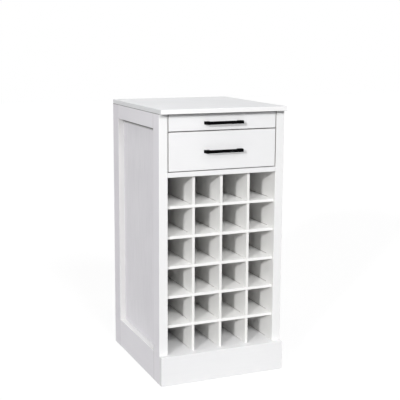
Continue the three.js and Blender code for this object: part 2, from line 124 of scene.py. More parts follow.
def seenRays(tree):
    # 1 for a ray that the camera, a reflection or a glass pane sees, else 0
    rays = addNode(tree, "ShaderNodeLightPath", (-900, 300))
    first = addNode(tree, "ShaderNodeMath", (-650, 300), operation="MAXIMUM")
    second = addNode(tree, "ShaderNodeMath", (-450, 300), operation="MAXIMUM")
    tree.links.new(rays.outputs["Is Camera Ray"], first.inputs[0])
    tree.links.new(rays.outputs["Is Glossy Ray"], first.inputs[1])
    tree.links.new(first.outputs[0], second.inputs[0])
    tree.links.new(rays.outputs["Is Transmission Ray"], second.inputs[1])
    return second.outputs[0]


def makeSky(look):
    world = bpy.data.worlds.new("paleStudio")
    world.use_nodes = True
    tree = world.node_tree
    tree.nodes.clear()
    light = addNode(tree, "ShaderNodeBackground", (-200, 100),
                    {"Color": (1.0, 1.0, 1.0, 1.0), "Strength": look["skyStrength"]})
    seen = addNode(tree, "ShaderNodeBackground", (-200, -100),
                   {"Color": (1.0, 1.0, 1.0, 1.0), "Strength": 1.0})
    mix = addNode(tree, "ShaderNodeMixShader", (50, 0))
    out = addNode(tree, "ShaderNodeOutputWorld", (250, 0))
    tree.links.new(seenRays(tree), mix.inputs["Fac"])
    tree.links.new(light.outputs[0], mix.inputs[1])
    tree.links.new(seen.outputs[0], mix.inputs[2])
    tree.links.new(mix.outputs[0], out.inputs["Surface"])
    bpy.context.scene.world = world


def makeFloor(look):
    material = bpy.data.materials.new("paleFloor")
    material.use_nodes = True
    tree = material.node_tree
    tree.nodes.clear()
    plain = addNode(tree, "ShaderNodeBsdfDiffuse", (-200, 200), {"Color": look["floorColour"]})
    shaded = addNode(tree, "ShaderNodeBsdfDiffuse", (-400, 0), {"Color": look["floorSeenColour"]})
    glow = addNode(tree, "ShaderNodeEmission", (-400, -150),
                   {"Color": (1.0, 1.0, 1.0, 1.0), "Strength": look["floorGlow"]})
    both = addNode(tree, "ShaderNodeAddShader", (-200, -50))
    mix = addNode(tree, "ShaderNodeMixShader", (50, 0))
    out = addNode(tree, "ShaderNodeOutputMaterial", (250, 0))
    tree.links.new(shaded.outputs[0], both.inputs[0])
    tree.links.new(glow.outputs[0], both.inputs[1])
    tree.links.new(seenRays(tree), mix.inputs["Fac"])
    tree.links.new(plain.outputs[0], mix.inputs[1])
    tree.links.new(both.outputs[0], mix.inputs[2])
    tree.links.new(mix.outputs[0], out.inputs["Surface"])
    bm = bmesh.new()
    bmesh.ops.create_grid(bm, x_segments=1, y_segments=1, size=look["floorSize"] / 2)
    floor = linkMesh("floor", bm, material)


def linkMesh(name, bm, material):
    mesh = bpy.data.meshes.new(name)
    bm.to_mesh(mesh)
    bm.free()
    mesh.materials.append(material)
    piece = bpy.data.objects.new(name, mesh)
    bpy.context.scene.collection.objects.link(piece)
    return piece


makeCamera(studio)
addLamp("keySun", "SUN", studio["keyPlace"], studio["keyDirection"],
        energy=studio["keyStrength"], angle=math.radians(studio["keySoftness"]))
for name, (turn, rise, strength, softness) in studio["softLamps"].items():
    turn, rise = math.radians(turn), math.radians(rise)
    level = math.cos(rise)
    towards = Vector((math.sin(turn) * level, -math.cos(turn) * level, math.sin(rise)))
    addLamp(name, "SUN", towards * studio["softDistance"], -towards,
            energy=strength, angle=math.radians(softness))
for name, (place, aim, size, power) in studio["nearLamps"].items():
    addLamp(name, "AREA", place, Vector(aim) - Vector(place),
            energy=power, shape="SQUARE", size=size)
makeSky(studio)
makeFloor(studio)
bpy.context.scene.view_settings.view_transform = "Standard"
print("camera, lamps and floor made")


# Finishes

def newGroup(name, inputs, outputs):
    tree = bpy.data.node_groups.new(name, "ShaderNodeTree")
    for label, kind, value in inputs:
        socket = tree.interface.new_socket(name=label, in_out="INPUT", socket_type=kind)
        if value is not None:
            socket.default_value = value
    for label, kind in outputs:
        tree.interface.new_socket(name=label, in_out="OUTPUT", socket_type=kind)
    start = addNode(tree, "NodeGroupInput", (-900, 0))
    end = addNode(tree, "NodeGroupOutput", (700, 0))
    return tree, start, end


floatKind, colourKind, vectorKind = "NodeSocketFloat", "NodeSocketColor", "NodeSocketVector"
filmOutputs = [("Color", colourKind), ("Roughness", floatKind), ("Normal", vectorKind)]
paintFilm = {
    "dulling": 0.08,  # how much rougher the darker patches are
    "peelShare": 0.35,  # of the relief, beside the grain lines
    "reliefHeight": 0.1 * mm,
}
maskEdge = 0.1 * mm  # over which a painted strip fades


def makePaintGroup():
    # sprayed satin paint over board: slow changes of tone, fine grain lines and orange peel
    tree, start, end = newGroup("sprayedPaint", [
        ("Vector", vectorKind, None),
        ("Colour", colourKind, (0.8, 0.8, 0.8, 1.0)),
        ("Shade", colourKind, (0.7, 0.7, 0.7, 1.0)),
        ("Tone", floatKind, 0.3),
        ("Grain", floatKind, 0.2),
        ("Gloss", floatKind, 0.4),
        ("Relief", floatKind, 0.1),
    ], filmOutputs)
    link = tree.links.new
    slow = addNode(tree, "ShaderNodeTexNoise", (-650, 300), {"Scale": 5.0, "Detail": 3.0})
    stretch = addNode(tree, "ShaderNodeMapping", (-650, -50), {"Scale": (1.0, 1.0, 0.035)})
    lines = addNode(tree, "ShaderNodeTexNoise", (-450, -50),
                    {"Scale": 260.0, "Detail": 4.0, "Roughness": 0.6})
    peel = addNode(tree, "ShaderNodeTexNoise", (-450, -350), {"Scale": 900.0, "Detail": 2.0})
    link(start.outputs["Vector"], slow.inputs["Vector"])
    link(start.outputs["Vector"], stretch.inputs["Vector"])
    link(stretch.outputs["Vector"], lines.inputs["Vector"])
    link(start.outputs["Vector"], peel.inputs["Vector"])
    toneMask = addNode(tree, "ShaderNodeMapRange", (-450, 300), {"From Min": 0.35, "From Max": 0.65})
    lineMask = addNode(tree, "ShaderNodeMapRange", (-250, -50), {"From Min": 0.42, "From Max": 0.72})
    link(slow.outputs[0], toneMask.inputs["Value"])
    link(lines.outputs[0], lineMask.inputs["Value"])
    tone = addNode(tree, "ShaderNodeMath", (-250, 300), operation="MULTIPLY")
    grain = addNode(tree, "ShaderNodeMath", (-50, 100), operation="MULTIPLY")
    total = addNode(tree, "ShaderNodeMath", (120, 250), operation="ADD", use_clamp=True)
    link(toneMask.outputs[0], tone.inputs[0])
    link(start.outputs["Tone"], tone.inputs[1])
    link(lineMask.outputs[0], grain.inputs[0])
    link(start.outputs["Grain"], grain.inputs[1])
    link(tone.outputs[0], total.inputs[0])
    link(grain.outputs[0], total.inputs[1])
    paint = addNode(tree, "ShaderNodeMix", (320, 250), data_type="RGBA")
    link(total.outputs[0], paint.inputs["Factor"])
    link(start.outputs["Colour"], paint.inputs["A"])
    link(start.outputs["Shade"], paint.inputs["B"])
    link(paint.outputs["Result"], end.inputs["Color"])
    dull = addNode(tree, "ShaderNodeMath", (-50, -150), {1: paintFilm["dulling"]},
                   operation="MULTIPLY")
    rough = addNode(tree, "ShaderNodeMath", (320, -50), operation="ADD")
    link(toneMask.outputs[0], dull.inputs[0])
    link(dull.outputs[0], rough.inputs[0])
    link(start.outputs["Gloss"], rough.inputs[1])
    link(rough.outputs[0], end.inputs["Roughness"])
    deep = addNode(tree, "ShaderNodeMath", (-50, -300), {1: paintFilm["peelShare"]},
                   operation="MULTIPLY")
    relief = addNode(tree, "ShaderNodeMath", (120, -300), operation="SUBTRACT")
    bump = addNode(tree, "ShaderNodeBump", (320, -250), {"Distance": paintFilm["reliefHeight"]})
    link(peel.outputs[0], deep.inputs[0])
    link(deep.outputs[0], relief.inputs[0])
    link(grain.outputs[0], relief.inputs[1])
    link(relief.outputs[0], bump.inputs["Height"])
    link(start.outputs["Relief"], bump.inputs["Strength"])
    link(bump.outputs["Normal"], end.inputs["Normal"])
    return tree


def makeBoxGroup():
    # 1 inside a box given by its centre and half its size, 0 outside
    tree, start, end = newGroup("insideBox", [
        ("Vector", vectorKind, None),
        ("Centre", vectorKind, None),
        ("Half", vectorKind, None),
    ], [("Mask", floatKind)])
    link = tree.links.new
    off = addNode(tree, "ShaderNodeVectorMath", (-650, 0), operation="SUBTRACT")
    size = addNode(tree, "ShaderNodeVectorMath", (-450, 0), operation="ABSOLUTE")
    past = addNode(tree, "ShaderNodeVectorMath", (-250, 0), operation="SUBTRACT")
    parts = addNode(tree, "ShaderNodeSeparateXYZ", (-50, 0))
    wide = addNode(tree, "ShaderNodeMath", (130, 50), operation="MAXIMUM")
    most = addNode(tree, "ShaderNodeMath", (300, 0), operation="MAXIMUM")
    mask = addNode(tree, "ShaderNodeMapRange", (480, 0),
                   {"From Min": maskEdge, "From Max": -maskEdge, "To Min": 0.0, "To Max": 1.0})
    link(start.outputs["Vector"], off.inputs[0])
    link(start.outputs["Centre"], off.inputs[1])
    link(off.outputs[0], size.inputs[0])
    link(size.outputs[0], past.inputs[0])
    link(start.outputs["Half"], past.inputs[1])
    link(past.outputs[0], parts.inputs[0])
    link(parts.outputs[0], wide.inputs[0])
    link(parts.outputs[1], wide.inputs[1])
    link(wide.outputs[0], most.inputs[0])
    link(parts.outputs[2], most.inputs[1])
    link(most.outputs[0], mask.inputs["Value"])
    link(mask.outputs[0], end.inputs["Mask"])
    return tree


paintGroup = makePaintGroup()
boxGroup = makeBoxGroup()
grainTurns = {
    "x": (0.0, math.radians(90), 0.0),
    "y": (math.radians(90), 0.0, 0.0),
    "z": (0.0, 0.0, 0.0),
}


def makePaint(name, look, along="z", shades=()):
    # each shade is a box's two corners, the colour painted there, and whether it lies inside or
    # outside; most are painted shade and painted light
    material = bpy.data.materials.new(name)
    material.use_nodes = True
    tree = material.node_tree
    shader = tree.nodes["Principled BSDF"]
    place = addNode(tree, "ShaderNodeTexCoord", (-900, 0))
    turn = addNode(tree, "ShaderNodeMapping", (-700, 0), {"Rotation": grainTurns[along]})
    film = addNode(tree, "ShaderNodeGroup", (-350, 0), node_tree=paintGroup)
    for key in ("Colour", "Shade", "Tone", "Grain", "Gloss", "Relief"):
        film.inputs[key].default_value = look[key.lower()]
    tree.links.new(place.outputs["Object"], turn.inputs["Vector"])
    tree.links.new(turn.outputs["Vector"], film.inputs["Vector"])
    colour = film.outputs["Color"]
    for number, (low, high, tint, inside) in enumerate(shades):
        box = addNode(tree, "ShaderNodeGroup", (-350, 300 + 200 * number), node_tree=boxGroup)
        box.inputs["Centre"].default_value = [(low[i] + high[i]) / 2 for i in range(3)]
        box.inputs["Half"].default_value = [(high[i] - low[i]) / 2 for i in range(3)]
        tree.links.new(place.outputs["Object"], box.inputs["Vector"])
        mix = addNode(tree, "ShaderNodeMix", (-100, 300 + 200 * number), data_type="RGBA")
        tree.links.new(box.outputs["Mask"], mix.inputs["Factor"])
        tree.links.new(colour, mix.inputs["A" if inside else "B"])
        mix.inputs["B" if inside else "A"].default_value = tint
        colour = mix.outputs["Result"]
    tree.links.new(colour, shader.inputs["Base Color"])
    tree.links.new(film.outputs["Roughness"], shader.inputs["Roughness"])
    tree.links.new(film.outputs["Normal"], shader.inputs["Normal"])
    shader.inputs["Specular IOR Level"].default_value = look["specular"]
    return material


casePaint = {
    "colour": (0.86, 0.86, 0.865, 1.0),
    "shade": (0.80, 0.80, 0.815, 1.0),
    "tone": 0.25,
    "grain": 0.15,
    "gloss": 0.38,
    "relief": 0.15,
    "specular": 0.25,
}
# the sides' paint, and the panels' and rear posts' paints made from it, carry a lavender tint that is
# painted light: the cool light on the sides
sideLightTintPaint = dict(casePaint, colour=(0.870, 0.853, 0.888, 1.0), shade=(0.810, 0.794, 0.831, 1.0))
panelPaint = dict(sideLightTintPaint, grain=0.6, relief=0.3, shade=(0.750, 0.736, 0.771, 1.0))
# the rear posts' paint is darker, as painted shade towards the back
shadedRearPaint = dict(sideLightTintPaint, colour=(0.822, 0.800, 0.842, 1.0), shade=(0.765, 0.745, 0.79, 1.0))
# the top's paint is darker than the rest, as painted shade on its face
shadedTopPaint = dict(casePaint, colour=(0.825, 0.83, 0.842, 1.0), shade=(0.775, 0.78, 0.795, 1.0))
rackPaint = dict(casePaint, colour=(0.87, 0.866, 0.852, 1.0), shade=(0.83, 0.826, 0.812, 1.0))
rackPaint["grain"] = 0.08
# the shelves' paint is lighter than the dividers', as painted light on the cubbies' floors
litShelfPaint = dict(rackPaint, colour=(0.93, 0.928, 0.918, 1.0), shade=(0.89, 0.888, 0.878, 1.0))
boxLaminate = {
    "colour": (0.86, 0.855, 0.84, 1.0),
    "shade": (0.81, 0.805, 0.785, 1.0),
    "tone": 0.15,
    "grain": 0.05,
    "gloss": 0.52,
    "relief": 0.6,
    "specular": 0.3,
}
jointLook = {
    "underTopShade": (0.16, 0.15, 0.145, 1.0),  # painted shade in the groove between the top and the sides
    "buttJointShade": (0.62, 0.61, 0.61, 1.0),  # painted shade where a rail meets a post
    "gapShade": (0.38, 0.365, 0.35, 1.0),  # painted shade on the edges beside the gaps round the fronts
    "cornerShade": (0.38, 0.37, 0.355, 1.0),  # painted shade along the corners of the cubbies
    "topEdgeLight": (0.90, 0.90, 0.90, 1.0),  # painted light on the top's front and back edges, kept lighter than its face, which carries painted shade
    "ledgeLight": (0.96, 0.96, 0.955, 1.0),  # painted light on the bottom rail's top face
    "cornerWidth": 1.5 * mm,
    "cornerStart": -175.0 * mm,  # how far forward the painted shade in the corners reaches
    "cornerLift": 0.3 * mm,  # above the shelf's own face
    "railShadows": (  # painted shadow under the top rails: how far down, and the colour
        (13.5 * mm, (0.58, 0.57, 0.58, 1.0)),
        (10.0 * mm, (0.18, 0.17, 0.17, 1.0)),
    ),
    "railOverlap": 1.0 * mm,
    "grooveWidth": 1.1 * mm,
    "gapDepth": 3.4 * mm,  # how far in the gaps the painted shade reaches
    "gapStart": 715.5 * mm,  # the level where the gaps beside the fronts begin
    "reach": 0.4 * mm,  # how far a painted box goes past the face that it colours
    "clear": 5.0 * mm,  # and past a face without a strip
    "innerFace": 195.4 * mm,  # from the middle to just past the posts' inner faces
    "dividerReach": 150.0 * mm,  # from the middle to past the outer dividers
    "innerTint": (0.875, 0.870, 0.857, 1.0),  # the faces towards the rack, which match its paint, without the sides' painted light tint
    "frontFace": (0.862, 0.862, 0.864, 1.0),  # the front posts' front faces, which match the drawer's, without the sides' painted light tint
    "rearFaceShade": (0.755, 0.75, 0.745, 1.0),  # painted shade on the rear posts' front faces, beside the sunken panels
}


def panelShades(name):
    # the painted shadow under the top rail, on the panel's outer face
    low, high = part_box(name)
    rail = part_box(name.replace("side_panel", "top_rail"))
    outer = low[0] if low[0] < 0 else high[0]
    middle = (low[0] + high[0]) / 2
    past = jointLook["railOverlap"]
    return [([min(outer, middle) - past, low[1], rail[0][2] - width],
             [max(outer, middle) + past, high[1], rail[0][2] + past], tint, True)
            for width, tint in jointLook["railShadows"]]


def grooves(name, tint, low, high):
    # paints a tint on the strip along those sides of a board that are marked 1: painted shade in the
    # joints, painted light on the ledge and the top's edges
    corner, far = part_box(name)
    clear, strip = jointLook["clear"], jointLook["grooveWidth"]
    return ([corner[i] + (strip if low[i] else -clear) for i in range(3)],
            [far[i] - (strip if high[i] else -clear) for i in range(3)], jointLook[tint], False)


def gapStrips(name, sides, start=0.0):
    # painted shade on the front part of those edges of a board that lie beside a gap
    # a side is its axis, 0 across or 2 upright, and -1 for its low or 1 for its high end
    low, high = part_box(name)
    reach = jointLook["reach"]
    strips = []
    for axis, side in sides:
        edge = (low if side < 0 else high)[axis]
        near = [low[0] - reach, low[1] - reach, max(low[2], start) - reach]
        far = [high[0] + reach, low[1] + jointLook["gapDepth"], high[2] + reach]
        near[axis], far[axis] = edge - reach, edge + reach
        strips.append((near, far, jointLook["gapShade"], True))
    return strips


def innerSide(name):
    # the face towards the rack and the drawer, kept free of the sides' painted light tint
    low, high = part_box(name)
    side, reach = jointLook["innerFace"], jointLook["reach"]
    return ([-side, low[1] - reach, low[2] - reach], [side, high[1] + reach, high[2] + reach],
            jointLook["innerTint"], True)


# paints a tint on a post's front face: plain paint on the front posts, painted shade on the rear posts
def frontFace(name, tint):
    low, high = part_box(name)
    reach = jointLook["reach"]
    return ([low[0] - reach, low[1] - reach, low[2] - reach],
            [high[0] + reach, low[1] + reach, high[2] + reach], jointLook[tint], True)


def cornerLines(side):
    # thin strips of painted shade where the dividers and the case's inner faces stand on the shelves
    front, back = jointLook["cornerStart"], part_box("rack_shelf_1")[1][1]
    strips = []
    for name in nodes:
        if name.startswith("rack_shelf") or name == "bottom_board":
            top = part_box(name)[1][2] + jointLook["cornerLift"]
            strips.append(([-side, front, top], [side, back, top + jointLook["cornerWidth"]],
                           jointLook["cornerShade"], True))
    return strips


plainPaints = {
    "shelf": makePaint("shelfPaintGrainX", litShelfPaint, "x"),
    "divider": makePaint("dividerPaintGrainY", rackPaint, "y", cornerLines(jointLook["dividerReach"])),
    "caseX": makePaint("casePaintGrainX", casePaint, "x"),
    "box": makePaint("whiteBoxLaminate", boxLaminate, "y"),
}


def paintFor(name):
    if name.endswith("side_panel"):
        shades = [innerSide(name)] + cornerLines(jointLook["innerFace"]) + panelShades(name)
        return makePaint(name + "_paint", panelPaint, "z", shades)
    none, endJoints, upJoint = (0, 0, 0), (0, 1, 0), (0, 0, 1)
    if name.endswith("front_post"):
        inner = (0, -1) if name.startswith("right") else (0, 1)
        shades = [innerSide(name), frontFace(name, "frontFace"),
                  grooves(name, "underTopShade", none, upJoint)]
        shades += gapStrips(name, [inner], jointLook["gapStart"])
        return makePaint(name + "_paint", sideLightTintPaint, "z", shades)
    if name.endswith("rear_post"):
        shades = [frontFace(name, "rearFaceShade"), grooves(name, "underTopShade", none, upJoint)]
        return makePaint(name + "_paint", shadedRearPaint, "z", shades)
    if name.endswith("top_rail") and not name.startswith("rear"):
        shades = [grooves(name, "buttJointShade", endJoints, endJoints),
                  grooves(name, "underTopShade", none, upJoint)]
        return makePaint(name + "_paint", sideLightTintPaint, "y", shades)
    if name.endswith("bottom_rail") and not name.startswith("rear"):
        # painted light on the ledge, and painted shade where the rail meets the posts
        shades = [grooves(name, "ledgeLight", none, upJoint),
                  grooves(name, "buttJointShade", endJoints, endJoints)]
        return makePaint(name + "_paint", sideLightTintPaint, "y", shades)
    if name in ("drawer_front", "tray_front"):
        shades = gapStrips(name, [(0, -1), (0, 1), (2, -1), (2, 1)])
        return makePaint(name + "_paint", casePaint, "x", shades)
    if name == "top_panel":
        return makePaint("top_paint", shadedTopPaint, "x", [grooves(name, "topEdgeLight", endJoints, none)])
    if name.startswith("rack_divider"):
        return plainPaints["divider"]
    if name.startswith("rack_shelf"):
        return plainPaints["shelf"]
    return plainPaints["caseX"]


def setFinish(name, material):
    for slot in nodes[name].material_slots:
        slot.material = material


for name, node in nodes.items():
    if node.material_slots[0].material.name.startswith("white_paint"):
        setFinish(name, paintFor(name))
    if node.material_slots[0].material.name.startswith("box_laminate"):
        setFinish(name, plainPaints["box"])
print("finishes assigned")


# Black bar handles

blackCoat = {
    "colour": (0.0015, 0.0015, 0.0018, 1.0),
    "shade": (0.004, 0.004, 0.0045, 1.0),
    "gloss": 0.62,
    "relief": 0.25,
    "specular": 0.02,
    "metallic": 0.0,
}

powderFilm = {
    "polish": -0.12,  # the change of roughness where hands touch
    "reliefHeight": 0.06 * mm,
}
barHandle = {
    "barHalf": 66.0 * mm,  # from the middle to the end of the bar
    "footHalf": 69.0 * mm,
    "footInner": 49.0 * mm,
    "legInner": 56.0 * mm,
    "wallFace": -228.2 * mm,
    "barBack": -239.7 * mm,
    "barFront": -247.7 * mm,
    "height": 10.0 * mm,
    "fillet": 7.0 * mm,
    "filletSteps": 8,
    "ease": 0.8 * mm,
    "easeSteps": 3,
    "sharpAngle": 25.0,  # degrees, from which an edge is eased
    "centres": {"tray": 872.5 * mm, "drawer": 779.0 * mm},
}


def makeHandle(body, centre, look, material):
    bm = bmesh.new()
    plan = [(0.0, look["barFront"]), (look["barHalf"], look["barFront"]),
            (look["footHalf"], look["wallFace"]), (look["footInner"], look["wallFace"]),
            (look["legInner"], look["barBack"]), (0.0, look["barBack"])]
    corners = [bm.verts.new((x, y, centre - look["height"] / 2)) for x, y in plan]
    bm.faces.new(corners)
    bmesh.ops.mirror(bm, geom=bm.verts[:] + bm.edges[:] + bm.faces[:], axis="X", merge_dist=weld)
    middle = [e for e in bm.edges if all(abs(v.co.x) < weld for v in e.verts)]
    bmesh.ops.dissolve_edges(bm, edges=middle, use_verts=True)
    raised = bmesh.ops.extrude_face_region(bm, geom=bm.faces[:])
    lifted = [g for g in raised["geom"] if isinstance(g, bmesh.types.BMVert)]
    bmesh.ops.translate(bm, verts=lifted, vec=(0.0, 0.0, look["height"]))
    bmesh.ops.recalc_face_normals(bm, faces=bm.faces[:])
    # the upright edges where the legs leave the back of the bar
    inner = [e for e in bm.edges if all(abs(v.co.y - look["barBack"]) < weld for v in e.verts)
             and abs(e.verts[0].co.z - e.verts[1].co.z) > look["height"] / 2]
    bmesh.ops.bevel(bm, geom=inner, offset=look["fillet"], offset_type="OFFSET",
                    segments=look["filletSteps"], profile=0.5, affect="EDGES", material=-1)
    sharp = [e for e in bm.edges
             if len(e.link_faces) == 2 and e.calc_face_angle() > math.radians(look["sharpAngle"])]
    bmesh.ops.bevel(bm, geom=sharp, offset=look["ease"], offset_type="OFFSET",
                    segments=look["easeSteps"], profile=0.5, affect="EDGES", material=-1,
                    clamp_overlap=True)
    for face in bm.faces:
        face.smooth = True
    piece = linkMesh(body + "_bar_handle", bm, material)
    softenEdges(piece)
    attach(piece, body)
    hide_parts(body + "_handle")
    return piece


def letLightPast(lampName, pieces):
    # the wide front light reaches round slim bars, so these cast only the key light's shadow
    barred = bpy.data.collections.new(lampName + "Passes")
    for piece in pieces:
        barred.objects.link(piece)
    for member in barred.collection_objects:
        member.light_linking.link_state = "EXCLUDE"
    bpy.data.objects[lampName].light_linking.blocker_collection = barred


def softenEdges(piece):
    # flat faces keep their own normals and only the small rounded edges blend
    weighted = piece.modifiers.new("weightedNormals", "WEIGHTED_NORMAL")
    weighted.keep_sharp = True


def makeCoatGroup():
    # sprayed powder: tiny round grains, and a faint polish where hands touch
    tree, start, end = newGroup("powderCoat", [
        ("Vector", vectorKind, None),
        ("Colour", colourKind, (0.01, 0.01, 0.01, 1.0)),
        ("Shade", colourKind, (0.03, 0.03, 0.03, 1.0)),
        ("Gloss", floatKind, 0.5),
        ("Relief", floatKind, 0.2),
    ], filmOutputs)
    link = tree.links.new
    grains = addNode(tree, "ShaderNodeTexVoronoi", (-650, 200), {"Scale": 1400.0})
    cloud = addNode(tree, "ShaderNodeTexNoise", (-650, -100), {"Scale": 45.0, "Detail": 3.0})
    link(start.outputs["Vector"], grains.inputs["Vector"])
    link(start.outputs["Vector"], cloud.inputs["Vector"])
    touched = addNode(tree, "ShaderNodeMapRange", (-400, -100), {"From Min": 0.4, "From Max": 0.7})
    link(cloud.outputs[0], touched.inputs["Value"])
    both = addNode(tree, "ShaderNodeMath", (-200, 150), operation="MULTIPLY")
    link(grains.outputs["Distance"], both.inputs[0])
    link(touched.outputs[0], both.inputs[1])
    coat = addNode(tree, "ShaderNodeMix", (50, 250), data_type="RGBA")
    link(both.outputs[0], coat.inputs["Factor"])
    link(start.outputs["Colour"], coat.inputs["A"])
    link(start.outputs["Shade"], coat.inputs["B"])
    link(coat.outputs["Result"], end.inputs["Color"])
    wear = addNode(tree, "ShaderNodeMath", (-200, -100), {1: powderFilm["polish"]},
                   operation="MULTIPLY")
    rough = addNode(tree, "ShaderNodeMath", (50, -50), operation="ADD")
    link(touched.outputs[0], wear.inputs[0])
    link(wear.outputs[0], rough.inputs[0])
    link(start.outputs["Gloss"], rough.inputs[1])
    link(rough.outputs[0], end.inputs["Roughness"])
    bump = addNode(tree, "ShaderNodeBump", (50, -250), {"Distance": powderFilm["reliefHeight"]})
    link(grains.outputs["Distance"], bump.inputs["Height"])
    link(start.outputs["Relief"], bump.inputs["Strength"])
    link(bump.outputs["Normal"], end.inputs["Normal"])
    return tree


def makeFilm(name, group, look, keys):
    material = bpy.data.materials.new(name)
    material.use_nodes = True
    tree = material.node_tree
    shader = tree.nodes["Principled BSDF"]
    place = addNode(tree, "ShaderNodeTexCoord", (-900, 0))
    film = addNode(tree, "ShaderNodeGroup", (-350, 0), node_tree=group)
    for key in keys:
        film.inputs[key].default_value = look[key.lower()]
    tree.links.new(place.outputs["Object"], film.inputs["Vector"])
    tree.links.new(film.outputs["Color"], shader.inputs["Base Color"])
    tree.links.new(film.outputs["Roughness"], shader.inputs["Roughness"])
    tree.links.new(film.outputs["Normal"], shader.inputs["Normal"])
    shader.inputs["Specular IOR Level"].default_value = look["specular"]
    shader.inputs["Metallic"].default_value = look["metallic"]
    return material


coatKeys = ("Colour", "Shade", "Gloss", "Relief")
handleCoat = makeFilm("blackPowderCoat", makeCoatGroup(), blackCoat, coatKeys)
handles = [makeHandle(body, centre, barHandle, handleCoat)
           for body, centre in barHandle["centres"].items()]
letLightPast("frontSoft", handles)
print("handles made")


# Steel finishes

zincPlate = {
    "colour": (0.60, 0.61, 0.63, 1.0),
    "shade": (0.46, 0.47, 0.49, 1.0),
    "gloss": 0.30,
    "streak": 0.6,
    "relief": 0.12,
    "specular": 0.5,
    "metallic": 1.0,
}
cageSteel = dict(zincPlate, gloss=0.16, streak=0.35,
                 colour=(0.74, 0.75, 0.76, 1.0), shade=(0.62, 0.63, 0.64, 1.0))
sheetFilm = {
    "patchShare": 0.45,  # of the shade, beside the streaks
    "dulling": 0.14,
    "reliefHeight": 0.05 * mm,
}


def makeSteelGroup():
    # rolled sheet: streaks along the slide, and the cloudy patches of bright plating
    tree, start, end = newGroup("platedSheet", [
        ("Vector", vectorKind, None),
        ("Colour", colourKind, (0.6, 0.6, 0.6, 1.0)),
        ("Shade", colourKind, (0.5, 0.5, 0.5, 1.0)),
        ("Gloss", floatKind, 0.3),
        ("Streak", floatKind, 0.5),
        ("Relief", floatKind, 0.1),
    ], filmOutputs)
    link = tree.links.new
    stretch = addNode(tree, "ShaderNodeMapping", (-700, 150), {"Scale": (1.0, 0.02, 1.0)})
    streaks = addNode(tree, "ShaderNodeTexNoise", (-500, 150), {"Scale": 1100.0, "Detail": 3.0})
    cloud = addNode(tree, "ShaderNodeTexNoise", (-500, -150),
                    {"Scale": 60.0, "Detail": 4.0, "Distortion": 0.6})
    link(start.outputs["Vector"], stretch.inputs["Vector"])
    link(stretch.outputs["Vector"], streaks.inputs["Vector"])
    link(start.outputs["Vector"], cloud.inputs["Vector"])
    lineMask = addNode(tree, "ShaderNodeMapRange", (-300, 150), {"From Min": 0.35, "From Max": 0.70})
    cloudMask = addNode(tree, "ShaderNodeMapRange", (-300, -150), {"From Min": 0.40, "From Max": 0.65})
    link(streaks.outputs[0], lineMask.inputs["Value"])
    link(cloud.outputs[0], cloudMask.inputs["Value"])
    drawn = addNode(tree, "ShaderNodeMath", (-100, 150), operation="MULTIPLY")
    link(lineMask.outputs[0], drawn.inputs[0])
    link(start.outputs["Streak"], drawn.inputs[1])
    patch = addNode(tree, "ShaderNodeMath", (-100, -150), {1: sheetFilm["patchShare"]},
                    operation="MULTIPLY")
    link(cloudMask.outputs[0], patch.inputs[0])
    total = addNode(tree, "ShaderNodeMath", (80, 50), operation="ADD", use_clamp=True)
    link(drawn.outputs[0], total.inputs[0])
    link(patch.outputs[0], total.inputs[1])
    metal = addNode(tree, "ShaderNodeMix", (280, 250), data_type="RGBA")
    link(total.outputs[0], metal.inputs["Factor"])
    link(start.outputs["Colour"], metal.inputs["A"])
    link(start.outputs["Shade"], metal.inputs["B"])
    link(metal.outputs["Result"], end.inputs["Color"])
    dull = addNode(tree, "ShaderNodeMath", (280, 0), {1: sheetFilm["dulling"]}, operation="MULTIPLY")
    rough = addNode(tree, "ShaderNodeMath", (460, 0), operation="ADD")
    link(total.outputs[0], dull.inputs[0])
    link(dull.outputs[0], rough.inputs[0])
    link(start.outputs["Gloss"], rough.inputs[1])
    link(rough.outputs[0], end.inputs["Roughness"])
    bump = addNode(tree, "ShaderNodeBump", (460, -200), {"Distance": sheetFilm["reliefHeight"]})
    link(drawn.outputs[0], bump.inputs["Height"])
    link(start.outputs["Relief"], bump.inputs["Strength"])
    link(bump.outputs["Normal"], end.inputs["Normal"])
    return tree


steelGroup = makeSteelGroup()
steelKeys = ("Colour", "Shade", "Gloss", "Streak", "Relief")
slideZinc = makeFilm("zincPlatedSheet", steelGroup, zincPlate, steelKeys)
polishedCage = makeFilm("polishedCageSteel", steelGroup, cageSteel, steelKeys)


# Screws: pan heads with a cross recess

headForm = {
    "sides": 12,
    "turn": 15.0,  # degrees, so that the cross lies level
    "steps": ((0.45, 1.0), (0.30, 0.92), (0.17, 0.76), (0.08, 0.52)),  # rise and width, as shares
    "armPinch": 0.36,  # how far the corners between the cross's arms are drawn in
    "pinchWithin": 10.0,  # degrees, from the middle between two arms
    "pitDepth": 0.6,
    "pitTaper": 0.7,
    "smoothAngle": 35.0,
}
handleScrew = {
    "headRadius": 4.0 * mm,
    "headHeight": 2.6 * mm,
    "shankRadius": 2.0 * mm,
    "tip": -236.2 * mm,
    "seat": -209.8 * mm,
    "spacing": 64.0 * mm,  # from the middle of the front to each screw
}
slideScrew = {
    "radius": 3.4 * mm,
    "height": 1.7 * mm,
    "places": (-176.0 * mm, -16.0 * mm, 144.0 * mm),
}
backNail = {
    "radius": 2.6 * mm,
    "height": 0.4 * mm,  # also how much thinner the board is, so that the heads end level
    "inset": 7.0 * mm,
    "across": (-0.72, -0.36, 0.0, 0.36, 0.72),  # shares of half the width
    "up": (0.06, 0.2, 0.35, 0.5, 0.65, 0.8, 0.94),  # shares of the height
}
backBoard = {"ease": 0.5 * mm, "easeSteps": 2}


